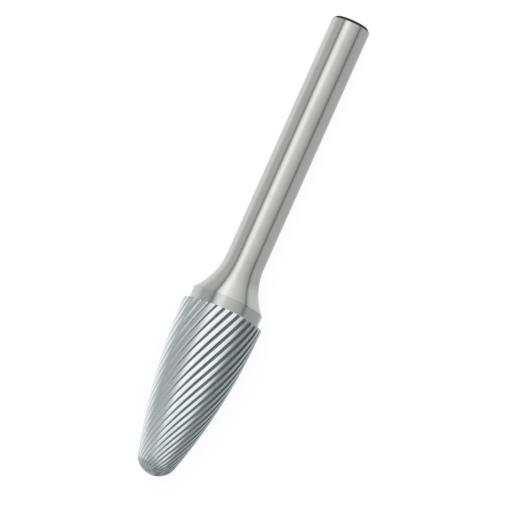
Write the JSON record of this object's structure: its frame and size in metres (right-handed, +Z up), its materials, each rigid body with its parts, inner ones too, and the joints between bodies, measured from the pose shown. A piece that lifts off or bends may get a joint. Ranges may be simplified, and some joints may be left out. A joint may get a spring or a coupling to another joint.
{
  "type": "carbide burr",
  "caption": "Rotary burr with a tapered, round-nosed carbide head cut with right-hand spiral flutes, brazed to a straight round steel shank with a flared neck and collar.",
  "frame": {"origin": "on the bench, under the middle of the burr's bounding box, as it lies at rest", "axes": "+X from the shank end to the nose, along the bench; +Z up. The tool's own axis lies in the XZ plane and rises 4.0 degrees towards the nose, because the head is thicker than the shank"},
  "size_m": [0.074, 0.0128, 0.0129],
  "materials": {
    "ground_steel": "satin",
    "silver_solder": "satin",
    "tungsten_carbide": "satin"
  },
  "bodies": {
    "root": {"shank": "ground_steel", "braze_joint": "silver_solder", "cutting_head": "tungsten_carbide"}
  },
  "joints": []
}
